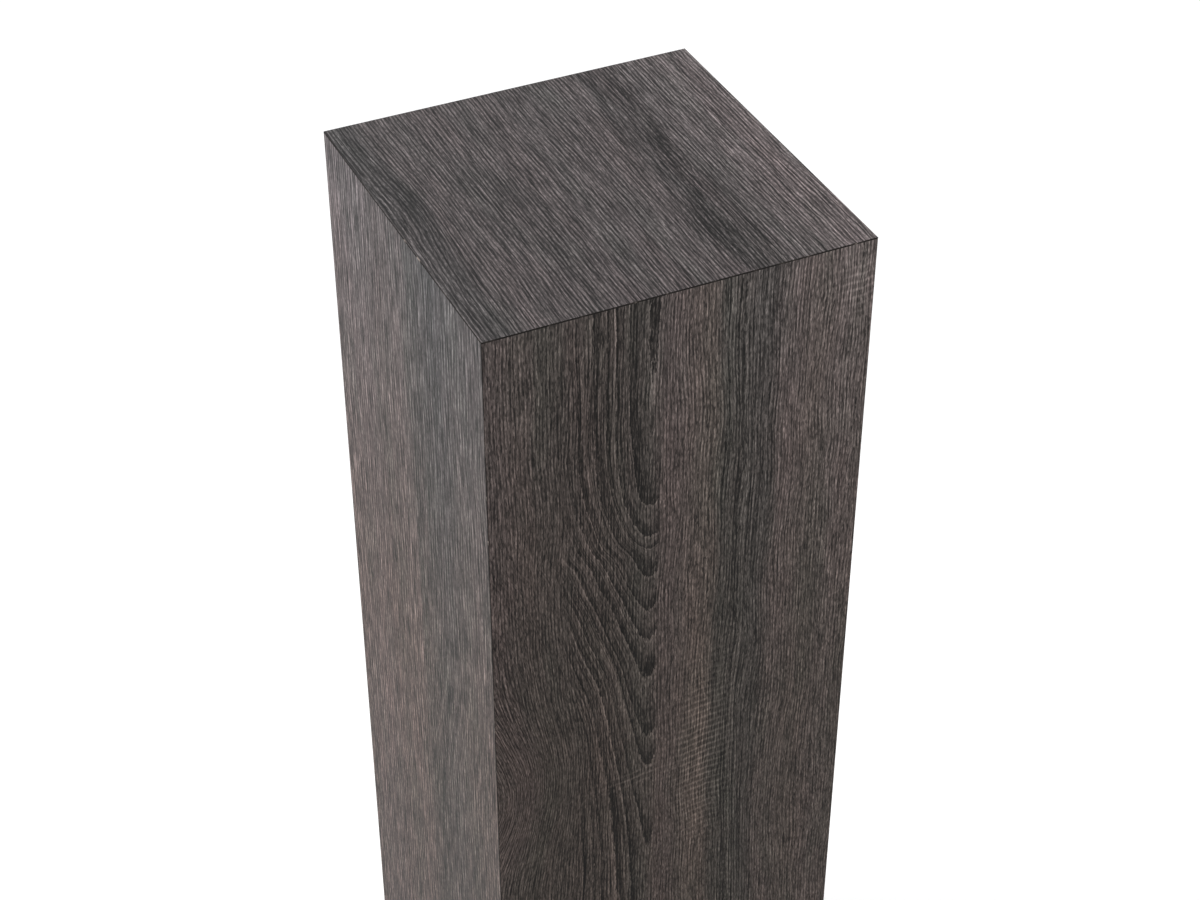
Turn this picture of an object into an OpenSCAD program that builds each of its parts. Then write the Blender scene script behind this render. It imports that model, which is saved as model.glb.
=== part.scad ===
// Display plinth: a square, five-sided MDF box clad in woodgrain laminate, open underneath.
// The front and back boards are screwed onto the edges of the left and right boards, and the top
// board sits on all four. Battens stand in the corners, a notched brace stiffens the middle, and
// the base board is set up inside the skirt and carries four screw-adjusted levelling feet.
// Front is -Y, up is +Z, and the origin is on the floor under the middle of the plinth.

/* [Overall] */
// Width across the front, laminate included
overall_w = 300; // [240:1:420]
// Depth from front to back, laminate included
overall_d = 300; // [240:1:420]
// Height of the display surface above the floor, with the feet as set at rest
overall_h = 1000; // [600:1:1400]
// Gap between the floor and the skirt, with the feet as set at rest
skirt_gap = 8; // [7:0.5:14]

/* [Boards and laminate] */
// Thickness of the carcass boards
board_t = 18; // [14:0.5:22]
// Thickness of the laminate sheets
laminate_t = 0.8; // [0.6:0.1:1.2]
// Thickness of the base board
base_t = 18; // [15:0.5:24]
// Height of the base board's underside above the floor
base_lift = 30; // [29:0.5:45]
// Diameter of the hand hole in the base board
base_hole_d = 110; // [60:1:130]
// Thickness of the brace board
brace_t = 12; // [9:0.5:18]
// Height of the brace board's underside above the floor
brace_lift = 500; // [300:1:520]
// Diameter of the hole in the brace board
brace_hole_d = 140; // [60:1:150]
// Clearance round the base and brace boards and their notches
board_fit = 0.3; // [0.1:0.05:0.6]

/* [Battens and cleats] */
// Width of the square corner battens
batten_w = 25; // [20:0.5:30]
// Width of the square cleats under the top and the brace
cleat_w = 20; // [16:0.5:24]
// Gap between a cleat's end and the corner batten
cleat_gap = 0.5; // [0.2:0.1:3]

/* [Screws and dowels] */
// Diameter of the wood screws' shanks
screw_d = 4; // [3.5:0.1:5]
// Diameter of the wood screws' countersunk heads
screw_head_d = 8; // [7:0.1:9]
// How far a screw bites into the piece that it pulls on when that piece is a board's face
face_bite = 11; // [8:0.5:12]
// How far a screw bites into the end or edge of a piece
edge_bite = 27; // [20:1:40]
// Number of carcass screws up each corner
carcass_screw_count = 5; // [3:1:8]
// Number of screws up each batten, into each of its two boards
batten_screw_count = 4; // [2:1:6]
// Radial clearance between a screw, dowel or tee nut and its hole
hole_fit = 0.05; // [0.02:0.01:0.1]
// Diameter of the dowels between the top board and the sides
dowel_d = 8; // [6:0.5:10]
// How far a dowel goes into the top board
dowel_up = 12; // [8:0.5:12]
// How far a dowel goes down into a side board
dowel_down = 18; // [12:1:24]

/* [Levelling feet] */
// Diameter of the foot's threaded stud
stud_d = 8; // [6:1:10]
// Radial clearance between the stud and the tee nut's bore
stud_fit = 0.05; // [0.02:0.01:0.1]
// Gap between the stud and the corner batten beside it
stud_gap = 7.2; // [7:0.1:12]
// How far a foot can be screwed out of the base from where it is set
foot_extend = 15; // [5:0.5:20]
// How far a foot can be screwed in from where it is set
foot_retract = 6; // [2:0.5:6]
// Wall of the tee nut's barrel
tee_wall = 1.2; // [1:0.1:1.5]
// Length of the tee nut's barrel inside the base board
tee_barrel_l = 13; // [9:0.5:14]
// Diameter of the tee nut's flange
tee_flange_d = 20; // [18:0.5:22]
// Thickness of the tee nut's flange
tee_flange_t = 1.5; // [1:0.1:2]
// Distance across the flats of the stud's hexagon
hex_af = 13; // [11:0.5:15]
// Height of the stud's hexagon
hex_h = 6; // [4:0.5:7]
// Diameter of the foot's plastic pad
pad_d = 32; // [26:1:40]
// Height of the pad above the sole
pad_h = 9; // [9:0.5:12]
// Diameter of the stud's ball
ball_d = 9; // [8.5:0.1:10]
// Clearance between the ball and its socket
ball_fit = 0.05; // [0.02:0.01:0.1]
// Thickness of the rubber sole
sole_t = 2; // [1.5:0.5:3]
// How deep the sole is let into the pad
sole_recess = 1; // [0.5:0.1:1.2]

/* [Hidden] */
$fn = 48;

BOTH = [-1, 1];
FRONT = 0;
RIGHT = 1;
BACK = 2;
LEFT = 3;
SIDES = [FRONT, RIGHT, BACK, LEFT];

// The carcass inside the laminate, and the space inside the carcass
shell_w = overall_w - 2 * laminate_t;
shell_d = overall_d - 2 * laminate_t;
inside_w = shell_w - 2 * board_t;
inside_d = shell_d - 2 * board_t;
shell_top = overall_h - laminate_t;
top_under = shell_top - board_t;
base_top = base_lift + base_t;
brace_top = brace_lift + brace_t;
batten_l = top_under - base_top;

// Middles of the boards' edges and of the battens
edge_x = inside_w / 2 + board_t / 2;
edge_y = inside_d / 2 + board_t / 2;
batten_x = inside_w / 2 - batten_w / 2;
batten_y = inside_d / 2 - batten_w / 2;

// How far a cut runs past the face it opens
cut_reach = 0.2;

// Screws: the head's cone, the point, and where they are spaced
screw_head_h = (screw_head_d - screw_d) / 2;
screw_tip_l = screw_d;
screw_row_margin = 60;
batten_row_margin = 95;
crossing_offset = 14;
cleat_face_screw_share = 0.36;
cleat_flat_screw_share = 0.22;
base_screw_share = 0.27;
dowel_share = 0.42;
dowel_end_gap = 1;

// Levelling feet: from the floor up
stud_r = stud_d / 2;
foot_x = inside_w / 2 - batten_w - stud_gap - stud_r;
foot_y = inside_d / 2 - batten_w - stud_gap - stud_r;
pad_floor_t = 1.2;
pad_top = sole_t + pad_h;
pad_rim_h = 4;
pad_shoulder_d = 18;
sole_fit = 0.1;
sole_rim = 1;
socket_neck_fit = 0.1;
ball_z = sole_t + pad_floor_t + ball_d / 2 + ball_fit;
stud_neck_d = 5.6;
hex_gap = 0.5;
hex_z = pad_top + hex_gap;
stud_spare = 2;
stud_top = base_lift + tee_barrel_l + foot_extend + stud_spare;
tee_barrel_r = stud_r + stud_fit + tee_wall;
tee_prong_inset = 0.4;
tee_prong_t = 1;
tee_prong_ring_r = tee_flange_d / 2 - tee_prong_inset - tee_prong_t / 2;
tee_prong_w = 4;
tee_prong_h = 5.5;

// Distance from the plinth's axis to a side board's inner face, and the length along that side
function half_span(side) = (side % 2 == 0 ? inside_d : inside_w) / 2;
function side_run(side) = side % 2 == 0 ? inside_w : inside_d;
function cleat_l(side) = side_run(side) - 2 * (batten_w + cleat_gap);
// Evenly spaced values from low to high
function spread(count, low, high) = [for (i = [0:count - 1]) low + (high - low) * i / (count - 1)];

carcass_screw_heights = spread(
    carcass_screw_count, skirt_gap + screw_row_margin, top_under - screw_row_margin);
batten_screw_heights = spread(
    batten_screw_count, base_top + batten_row_margin, top_under - batten_row_margin);

// Turns a child that points along +Z to point along -Y at the front, and to match on the other sides
module on_side(side) {
    rotate([0, 0, 90 * side]) children();
}

// A countersunk wood screw from its head's face at z = 0 down to its point; grow makes its hole
module wood_screw(length, grow = 0) {
    rotate_extrude()
        polygon([
            [0, -grow],
            [screw_head_d / 2 + grow, -grow],
            [screw_head_d / 2 + grow, 0],
            [screw_d / 2 + grow, screw_head_h],
            [screw_d / 2 + grow, length - screw_tip_l],
            [0, length + grow]
        ]);
}

// Screws through the front or back board into the edges of the left and right boards
module carcass_screw_set(grow = 0, xs = BOTH, ys = BOTH) {
    for (x = xs, y = ys, z = carcass_screw_heights)
        translate([x * edge_x, y * shell_d / 2, z])
            rotate([y * 90, 0, 0])
                wood_screw(board_t + edge_bite, grow);
}

// Screws through a batten into the left or right board
module batten_screw_set_x(grow = 0, xs = BOTH, ys = BOTH) {
    for (x = xs, y = ys, z = batten_screw_heights)
        translate([x * (inside_w / 2 - batten_w), y * batten_y, z - crossing_offset])
            rotate([0, x * 90, 0])
                wood_screw(batten_w + face_bite, grow);
}

// Screws through a batten into the front or back board
module batten_screw_set_y(grow = 0, xs = BOTH, ys = BOTH) {
    for (x = xs, y = ys, z = batten_screw_heights)
        translate([x * batten_x, y * (inside_d / 2 - batten_w), z + crossing_offset])
            rotate([-y * 90, 0, 0])
                wood_screw(batten_w + face_bite, grow);
}

// Screws through the cleats whose top is at top_z, into the side boards
module cleat_face_screw_set(top_z, grow = 0, sides = SIDES) {
    for (side = sides, x = BOTH)
        on_side(side)
            translate([x * cleat_l(side) * cleat_face_screw_share, cleat_w - half_span(side), top_z - cleat_w / 2])
                rotate([90, 0, 0])
                    wood_screw(cleat_w + face_bite, grow);
}

// Screws up through the top cleats into the top board
module top_cleat_up_screw_set(grow = 0, sides = SIDES) {
    for (side = sides, x = BOTH)
        on_side(side)
            translate([x * cleat_l(side) * cleat_flat_screw_share, cleat_w / 2 - half_span(side), top_under - cleat_w])
                wood_screw(cleat_w + face_bite, grow);
}

// Screws down through the brace board into its cleats
module brace_screw_set(grow = 0, sides = SIDES) {
    for (side = sides, x = BOTH)
        on_side(side)
            translate([x * cleat_l(side) * cleat_flat_screw_share, cleat_w / 2 - half_span(side), brace_top])
                rotate([180, 0, 0])
                    wood_screw(brace_t + face_bite, grow);
}

// Screws through the side boards into the base board's edges
module base_edge_screw_set(grow = 0, sides = SIDES) {
    for (side = sides, x = BOTH)
        on_side(side)
            translate([x * side_run(side) * base_screw_share, -half_span(side) - board_t, base_lift + base_t / 2])
                rotate([-90, 0, 0])
                    wood_screw(board_t + edge_bite, grow);
}

// Screws up through the base board into the ends of the battens
module base_batten_screw_set(grow = 0, xs = BOTH, ys = BOTH) {
    for (x = xs, y = ys)
        translate([x * batten_x, y * batten_y, base_lift])
            wood_screw(base_t + edge_bite, grow);
}

// Dowels that locate the top board on the side boards; deeper and grow make their holes
module dowel_set(grow = 0, deeper = 0, sides = SIDES) {
    for (side = sides, x = BOTH)
        on_side(side)
            translate([x * side_run(side) * dowel_share, -half_span(side) - board_t / 2, top_under - dowel_down - deeper])
                cylinder(h = dowel_down + dowel_up + 2 * deeper, r = dowel_d / 2 + grow);
}

// Every hole in the front (y = -1) or back (y = 1) board
module front_or_back_holes(y) {
    side = y < 0 ? FRONT : BACK;
    carcass_screw_set(hole_fit, ys = [y]);
    batten_screw_set_y(hole_fit, ys = [y]);
    cleat_face_screw_set(top_under, hole_fit, [side]);
    cleat_face_screw_set(brace_lift, hole_fit, [side]);
    base_edge_screw_set(hole_fit, [side]);
    dowel_set(hole_fit, dowel_end_gap, [side]);
}

// Every hole in the left (x = -1) or right (x = 1) board
module left_or_right_holes(x) {
    side = x < 0 ? LEFT : RIGHT;
    carcass_screw_set(hole_fit, xs = [x]);
    batten_screw_set_x(hole_fit, xs = [x]);
    cleat_face_screw_set(top_under, hole_fit, [side]);
    cleat_face_screw_set(brace_lift, hole_fit, [side]);
    base_edge_screw_set(hole_fit, [side]);
    dowel_set(hole_fit, dowel_end_gap, [side]);
}

// Front or back carcass board, the full width of the carcass
module front_or_back_board(y) {
    color("peru")
        difference() {
            translate([-shell_w / 2, y < 0 ? -shell_d / 2 : shell_d / 2 - board_t, skirt_gap])
                cube([shell_w, board_t, top_under - skirt_gap]);
            front_or_back_holes(y);
        }
}

// Left or right carcass board, between the front and back boards
module left_or_right_board(x) {
    color("peru")
        difference() {
            translate([x < 0 ? -shell_w / 2 : shell_w / 2 - board_t, -inside_d / 2, skirt_gap])
                cube([board_t, inside_d, top_under - skirt_gap]);
            left_or_right_holes(x);
        }
}

// Top carcass board, laid on the four sides
module top_board() {
    color("peru")
        difference() {
            translate([-shell_w / 2, -shell_d / 2, top_under])
                cube([shell_w, shell_d, board_t]);
            dowel_set(hole_fit, dowel_end_gap);
            top_cleat_up_screw_set(hole_fit);
        }
}

// The left and right sheets are glued on first, and stop flush with the carcass
module left_or_right_laminate(x) {
    color("dimgray")
        translate([x < 0 ? -overall_w / 2 : shell_w / 2, -shell_d / 2, skirt_gap])
            cube([laminate_t, shell_d, shell_top - skirt_gap]);
}

// The front and back sheets cover the edges of the left and right ones
module front_or_back_laminate(y) {
    color("dimgray")
        translate([-overall_w / 2, y < 0 ? -overall_d / 2 : shell_d / 2, skirt_gap])
            cube([overall_w, laminate_t, shell_top - skirt_gap]);
}

// The top sheet goes on last, over the edges of all four
module top_laminate() {
    color("dimgray")
        translate([-overall_w / 2, -overall_d / 2, shell_top])
            cube([overall_w, overall_d, laminate_t]);
}

// Square softwood batten in one corner, from the base board to the top board
module corner_batten(x, y) {
    color("burlywood")
        difference() {
            translate([x * batten_x - batten_w / 2, y * batten_y - batten_w / 2, base_top])
                cube([batten_w, batten_w, batten_l]);
            batten_screw_set_x(hole_fit, [x], [y]);
            batten_screw_set_y(hole_fit, [x], [y]);
            base_batten_screw_set(hole_fit, [x], [y]);
        }
}

// A bare cleat along one side, its top at top_z
module cleat_bar(side, top_z) {
    on_side(side)
        translate([-cleat_l(side) / 2, -half_span(side), top_z - cleat_w])
            cube([cleat_l(side), cleat_w, cleat_w]);
}

// Cleat that holds the top board down
module top_cleat(side) {
    color("burlywood")
        difference() {
            cleat_bar(side, top_under);
            cleat_face_screw_set(top_under, hole_fit, [side]);
            top_cleat_up_screw_set(hole_fit, [side]);
        }
}

// Cleat that the brace board rests on
module brace_cleat(side) {
    color("burlywood")
        difference() {
            cleat_bar(side, brace_lift);
            cleat_face_screw_set(brace_lift, hole_fit, [side]);
            brace_screw_set(hole_fit, [side]);
        }
}

// Plywood brace, notched round the battens, with a hole for light weight and for reaching through
module brace_board() {
    notch = batten_w + board_fit;
    color("tan")
        difference() {
            translate([board_fit - inside_w / 2, board_fit - inside_d / 2, brace_lift])
                cube([inside_w - 2 * board_fit, inside_d - 2 * board_fit, brace_t]);
            for (x = BOTH, y = BOTH)
                translate([x * (inside_w / 2 - notch / 2), y * (inside_d / 2 - notch / 2), brace_top - brace_t / 2])
                    cube([notch, notch, 2 * brace_t], center = true);
            translate([0, 0, brace_lift - cut_reach])
                cylinder(h = brace_t + 2 * cut_reach, d = brace_hole_d);
            brace_screw_set(hole_fit);
        }
}

// Plywood base board with the hand hole and the four tee nuts' holes
module base_board() {
    color("tan")
        difference() {
            translate([board_fit - inside_w / 2, board_fit - inside_d / 2, base_lift])
                cube([inside_w - 2 * board_fit, inside_d - 2 * board_fit, base_t]);
            translate([0, 0, base_lift - cut_reach])
                cylinder(h = base_t + 2 * cut_reach, d = base_hole_d);
            for (x = BOTH, y = BOTH)
                translate([x * foot_x, y * foot_y, base_lift]) {
                    translate([0, 0, -cut_reach])
                        cylinder(h = base_t + 2 * cut_reach, r = tee_barrel_r + hole_fit);
                    tee_prongs(hole_fit);
                }
            base_edge_screw_set(hole_fit);
            base_batten_screw_set(hole_fit);
        }
}

// Four pointed prongs that stop a tee nut from turning in the wood, from z = 0 up
module tee_prongs(grow = 0) {
    for (turn = [45:90:315])
        rotate([0, 0, turn])
            translate([tee_prong_ring_r + tee_prong_t / 2 + grow, 0, 0])
                rotate([90, 0, -90])
                    linear_extrude(tee_prong_t + 2 * grow)
                        polygon([
                            [-tee_prong_w / 2 - grow, 0],
                            [tee_prong_w / 2 + grow, 0],
                            [0, tee_prong_h + grow]
                        ]);
}

// Tee nut, hammered up into the base board so that the foot's load pushes its flange against the wood
module tee_nut(x, y) {
    color("silver")
        translate([x * foot_x, y * foot_y, base_lift])
            difference() {
                union() {
                    translate([0, 0, -tee_flange_t])
                        cylinder(h = tee_flange_t, d = tee_flange_d);
                    translate([0, 0, -cut_reach])
                        cylinder(h = tee_barrel_l + cut_reach, r = tee_barrel_r);
                    tee_prongs();
                }
                translate([0, 0, -2 * tee_flange_t])
                    cylinder(h = tee_barrel_l + 3 * tee_flange_t, r = stud_r + stud_fit);
            }
}

// Threaded stud with its hexagon and the ball that the pad turns on
module foot_stud(x, y) {
    color("silver")
        translate([x * foot_x, y * foot_y, 0]) {
            translate([0, 0, hex_z + hex_h])
                cylinder(h = stud_top - hex_z - hex_h, r = stud_r);
            translate([0, 0, hex_z])
                cylinder(h = hex_h, d = hex_af / cos(30), $fn = 6);
            translate([0, 0, ball_z])
                cylinder(h = hex_z - ball_z, d = stud_neck_d);
            translate([0, 0, ball_z])
                sphere(d = ball_d);
        }
}

// Round plastic pad with the socket for the stud's ball and a shallow seat for the sole
module foot_pad(x, y) {
    rim_z = sole_t - sole_recess;
    color("black")
        translate([x * foot_x, y * foot_y, 0])
            difference() {
                rotate_extrude()
                    polygon([
                        [0, sole_t],
                        [pad_d / 2 - sole_rim, sole_t],
                        [pad_d / 2 - sole_rim, rim_z],
                        [pad_d / 2, rim_z],
                        [pad_d / 2, rim_z + pad_rim_h],
                        [pad_shoulder_d / 2, pad_top],
                        [0, pad_top]
                    ]);
                translate([0, 0, ball_z])
                    sphere(d = ball_d + 2 * ball_fit);
                translate([0, 0, ball_z])
                    cylinder(h = pad_h, d = stud_neck_d + 2 * socket_neck_fit);
            }
}

// Rubber sole glued into the pad's seat; it is what touches the floor
module foot_sole(x, y) {
    color("darkslategray")
        translate([x * foot_x, y * foot_y, 0])
            cylinder(h = sole_t, r = pad_d / 2 - sole_rim - sole_fit);
}

top_board();
front_or_back_board(-1);  // front_board
front_or_back_board(1);  // back_board
left_or_right_board(-1);  // left_board
left_or_right_board(1);  // right_board
top_laminate();
front_or_back_laminate(-1);  // front_laminate
front_or_back_laminate(1);  // back_laminate
left_or_right_laminate(-1);  // left_laminate
left_or_right_laminate(1);  // right_laminate
corner_batten(-1, -1);  // corner_batten_front_left
corner_batten(1, -1);  // corner_batten_front_right
corner_batten(-1, 1);  // corner_batten_back_left
corner_batten(1, 1);  // corner_batten_back_right
top_cleat(FRONT);  // top_cleat_front
top_cleat(RIGHT);  // top_cleat_right
top_cleat(BACK);  // top_cleat_back
top_cleat(LEFT);  // top_cleat_left
brace_cleat(FRONT);  // brace_cleat_front
brace_cleat(RIGHT);  // brace_cleat_right
brace_cleat(BACK);  // brace_cleat_back
brace_cleat(LEFT);  // brace_cleat_left
brace_board();
base_board();
color("silver") carcass_screw_set();  // carcass_screws
color("silver") {  // batten_screws
    batten_screw_set_x();
    batten_screw_set_y();
}
color("silver") {  // top_cleat_screws
    cleat_face_screw_set(top_under);
    top_cleat_up_screw_set();
}
color("silver") cleat_face_screw_set(brace_lift);  // brace_cleat_screws
color("silver") brace_screw_set();  // brace_screws
color("silver") base_edge_screw_set();  // base_edge_screws
color("silver") base_batten_screw_set();  // base_batten_screws
color("burlywood") dowel_set();  // top_dowels
tee_nut(-1, -1);  // tee_nut_front_left
tee_nut(1, -1);  // tee_nut_front_right
tee_nut(-1, 1);  // tee_nut_back_left
tee_nut(1, 1);  // tee_nut_back_right
foot_stud(-1, -1);  // foot_stud_front_left
foot_stud(1, -1);  // foot_stud_front_right
foot_stud(-1, 1);  // foot_stud_back_left
foot_stud(1, 1);  // foot_stud_back_right
foot_pad(-1, -1);  // foot_pad_front_left
foot_pad(1, -1);  // foot_pad_front_right
foot_pad(-1, 1);  // foot_pad_back_left
foot_pad(1, 1);  // foot_pad_back_right
foot_sole(-1, -1);  // foot_sole_front_left
foot_sole(1, -1);  // foot_sole_front_right
foot_sole(-1, 1);  // foot_sole_back_left
foot_sole(1, 1);  // foot_sole_back_right
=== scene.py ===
"""A tall display plinth: an MDF box on four levelling feet, clad in grey oak woodgrain laminate."""
import math

import bmesh
import bpy
from mathutils import Matrix, Vector


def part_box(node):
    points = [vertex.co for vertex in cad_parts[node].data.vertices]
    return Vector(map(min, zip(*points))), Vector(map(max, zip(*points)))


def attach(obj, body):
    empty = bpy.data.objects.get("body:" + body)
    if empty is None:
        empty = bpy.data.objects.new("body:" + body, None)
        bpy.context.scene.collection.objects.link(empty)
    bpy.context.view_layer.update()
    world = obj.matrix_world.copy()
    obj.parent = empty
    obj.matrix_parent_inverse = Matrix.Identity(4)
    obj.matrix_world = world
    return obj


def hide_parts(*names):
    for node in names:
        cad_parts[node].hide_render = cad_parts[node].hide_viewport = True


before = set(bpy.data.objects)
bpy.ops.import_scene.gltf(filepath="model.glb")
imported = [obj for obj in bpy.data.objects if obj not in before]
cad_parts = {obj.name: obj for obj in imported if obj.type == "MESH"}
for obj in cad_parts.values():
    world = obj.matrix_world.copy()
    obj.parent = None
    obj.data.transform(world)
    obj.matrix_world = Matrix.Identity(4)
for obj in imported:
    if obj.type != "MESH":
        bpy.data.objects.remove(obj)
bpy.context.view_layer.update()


# ---------------------------------------------------------------------------------------------
# Camera. It looks down on the top from the front left, as a visitor taller than the plinth does.
# The foot of the plinth is left out of the frame.
camera_data = bpy.data.cameras.new("camera")
camera_data.sensor_fit = "HORIZONTAL"
camera_data.sensor_width = 36.0
camera_data.lens = 73.75
camera = bpy.data.objects.new("camera", camera_data)
bpy.context.scene.collection.objects.link(camera)
display_top = Vector((0, 0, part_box("top_laminate")[1].z))
camera.location = display_top + Vector((-0.6372, -1.3733, 0.9323))
camera.rotation_euler = (math.radians(90 - 37.836), 0, math.radians(-25.109))
bpy.context.scene.camera = camera


# ---------------------------------------------------------------------------------------------
# Carcass boards. 18 mm MDF: the top, the front and back, and the left and right between them.
# Pressed from wood fibre, so it has no grain, only a fine felted speckle, and no shine at all.
def linear(code, alpha=1.0):
    """Turns an sRGB colour such as "8A6B4A" into the linear values that shaders take."""
    channels = [int(code[i:i + 2], 16) / 255 for i in (0, 2, 4)]
    return [c / 12.92 if c <= 0.04045 else ((c + 0.055) / 1.055) ** 2.4 for c in channels] + [alpha]


def add(tree, kind, links=(), stops=(), **settings):
    """Adds a node, gives it its settings, ramp stops and links, and returns its first output."""
    node = tree.nodes.new(kind)
    for name, value in settings.items():
        setattr(node, name, value)
    for socket, value in dict(links).items():
        if isinstance(value, bpy.types.NodeSocket):
            tree.links.new(value, node.inputs[socket])
        else:
            node.inputs[socket].default_value = value
    for number, (position, code) in enumerate(stops):
        elements = node.color_ramp.elements
        element = elements[number] if number < 2 else elements.new(position)
        element.position, element.color = position, linear(code)
    return node.outputs[0]


def new_material(name, roughness, **shader):
    """A material with one shader, its even values set on the shader's own sockets."""
    material = bpy.data.materials.new(name)
    material.use_nodes = True
    surface = material.node_tree.nodes["Principled BSDF"]
    surface.inputs["Roughness"].default_value = roughness
    for socket, value in shader.items():
        surface.inputs[socket].default_value = value
    return material, material.node_tree, surface


def streaks(tree, place, width, length, seed, detail=2.0):
    """A field from 0 to 1 of streaks about so many millimetres wide and long."""
    fitted = add(tree, "ShaderNodeMapping", {
        "Vector": place, "Location": (seed, seed, seed), "Scale": (1 / width, 1 / length, 1 / width)})
    return add(tree, "ShaderNodeTexNoise", {
        "Vector": fitted, "Scale": 1.0, "Detail": detail, "Roughness": 0.6})


def in_millimetres(tree, turn=(0, 0, 0)):
    """Object coordinates in millimetres, turned by so many degrees."""
    return add(tree, "ShaderNodeMapping", {
        "Vector": add(tree, "ShaderNodeTexCoord").node.outputs["Object"],
        "Rotation": [math.radians(degrees) for degrees in turn], "Scale": (1000, 1000, 1000)})


def give(material, *nodes):
    """Puts one material on whole CAD nodes."""
    for name in nodes:
        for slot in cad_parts[name].material_slots:
            slot.material = material


def mdf():
    """Raw MDF, sanded: fibres about 1 mm long in every direction, cut edges as pale as the faces."""
    material, tree, surface = new_material("raw_mdf", roughness=0.85)
    fibres = streaks(tree, in_millimetres(tree), 0.9, 1.1, 3.0, detail=4.0)
    felt = add(tree, "ShaderNodeValToRGB", {0: fibres}, [(0.3, "8A6A47"), (0.5, "A88760"), (0.7, "B99A74")])
    tree.links.new(felt, surface.inputs["Base Color"])
    bump = add(tree, "ShaderNodeBump", {"Height": fibres, "Strength": 0.25, "Distance": 0.0002})
    tree.links.new(bump, surface.inputs["Normal"])
    return material


give(mdf(), *(side + "_board" for side in ("top", "front", "back", "left", "right")))


# ---------------------------------------------------------------------------------------------
# Battens and cleats. Planed pine strips, screwed into the corners and under the top and brace.
# The battens' grain stands upright and the cleats' runs along them.
def pine(name, along):
    """Planed pine: growth rings about 3 mm apart run the length of the strip, and knots are rare."""
    material, tree, surface = new_material("planed_pine_" + name, roughness=0.6)
    grain = in_millimetres(tree, {"X": (0, 0, 90), "Y": (0, 0, 0), "Z": (90, 0, 0)}[along])
    rings = streaks(tree, grain, 3.0, 160.0, 7.0, detail=1.0)
    pores = streaks(tree, grain, 0.5, 14.0, 2.0)
    wood = add(tree, "ShaderNodeValToRGB", {0: rings}, [
        (0.3, "E0BE8C"), (0.48, "D3A96F"), (0.55, "C08C50"), (0.6, "DDB987")])
    fine = add(tree, "ShaderNodeValToRGB", {0: pores}, [(0.35, "C9C2B8"), (0.55, "FFFFFF")])
    mixed = add(tree, "ShaderNodeMix", {0: 1.0, 6: wood, 7: fine}, data_type="RGBA", blend_type="MULTIPLY")
    tree.links.new(mixed.node.outputs[2], surface.inputs["Base Color"])
    bump = add(tree, "ShaderNodeBump", {"Height": pores, "Strength": 0.2, "Distance": 0.0001})
    tree.links.new(bump, surface.inputs["Normal"])
    return material


corners = ["front_left", "front_right", "back_left", "back_right"]
give(pine("upright", "Z"), *("corner_batten_" + corner for corner in corners))
for direction, along, sides in (
        ("sideways", "X", ("front", "back")), ("front_to_back", "Y", ("left", "right"))):
    cleats = [level + "_cleat_" + side for level in ("top", "brace") for side in sides]
    give(pine(direction, along), *cleats)


# ---------------------------------------------------------------------------------------------
# Brace and base boards. Birch plywood, notched or drilled, with their plies showing at the edges.
# The base board closes the bottom of the box and holds the feet.
def plywood():
    """Birch plywood: pale rotary-cut faces, and edges banded by plies 1.4 mm thick."""
    material, tree, surface = new_material("birch_plywood", roughness=0.62)
    grain = in_millimetres(tree)
    figure = streaks(tree, grain, 16.0, 120.0, 5.0, detail=4.0)
    pores = streaks(tree, grain, 0.6, 9.0, 9.0)
    face = add(tree, "ShaderNodeValToRGB", {0: figure}, [
        (0.3, "D9BC8E"), (0.5, "CDAA78"), (0.62, "E2C79B")])
    flecks = add(tree, "ShaderNodeValToRGB", {0: pores}, [(0.32, "B9AFA2"), (0.5, "FFFFFF")])
    face = add(tree, "ShaderNodeMix", {0: 1.0, 6: face, 7: flecks}, data_type="RGBA",
               blend_type="MULTIPLY").node.outputs[2]
    ply_pair = 2.8  # millimetres: one ply along the grain and one across it
    height = add(tree, "ShaderNodeSeparateXYZ", {0: grain}).node.outputs[2]
    ply = add(tree, "ShaderNodeMath", {0: height, 1: ply_pair}, operation="FLOORED_MODULO")
    band = add(tree, "ShaderNodeMath", {0: ply, 1: ply_pair}, operation="DIVIDE")
    edge = add(tree, "ShaderNodeValToRGB", {0: band}, [
        (0.0, "8E6B43"), (0.06, "D8B98A"), (0.5, "CFAE7C"), (0.56, "A57F52"), (0.97, "A98557"),
        (1.0, "8E6B43")])
    facing = add(tree, "ShaderNodeTexCoord").node.outputs["Normal"]
    normal = add(tree, "ShaderNodeSeparateXYZ", {0: facing}).node.outputs[2]
    flat = add(tree, "ShaderNodeMath", {0: normal}, operation="ABSOLUTE")
    is_face = add(tree, "ShaderNodeMath", {0: flat, 1: 0.5}, operation="GREATER_THAN")
    mixed = add(tree, "ShaderNodeMix", {0: is_face, 6: edge, 7: face}, data_type="RGBA")
    tree.links.new(mixed.node.outputs[2], surface.inputs["Base Color"])
    bump = add(tree, "ShaderNodeBump", {"Height": pores, "Strength": 0.2, "Distance": 0.0001})
    tree.links.new(bump, surface.inputs["Normal"])
    return material


give(plywood(), "brace_board", "base_board")


# ---------------------------------------------------------------------------------------------
# Dowels. Eight 8 x 30 mm beech pegs locate the top on the sides. They are fluted, so glue and air
# escape, and chamfered at both ends. Glued in blind.
weld = 0.000002  # metres: points nearer than this are merged


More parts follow.
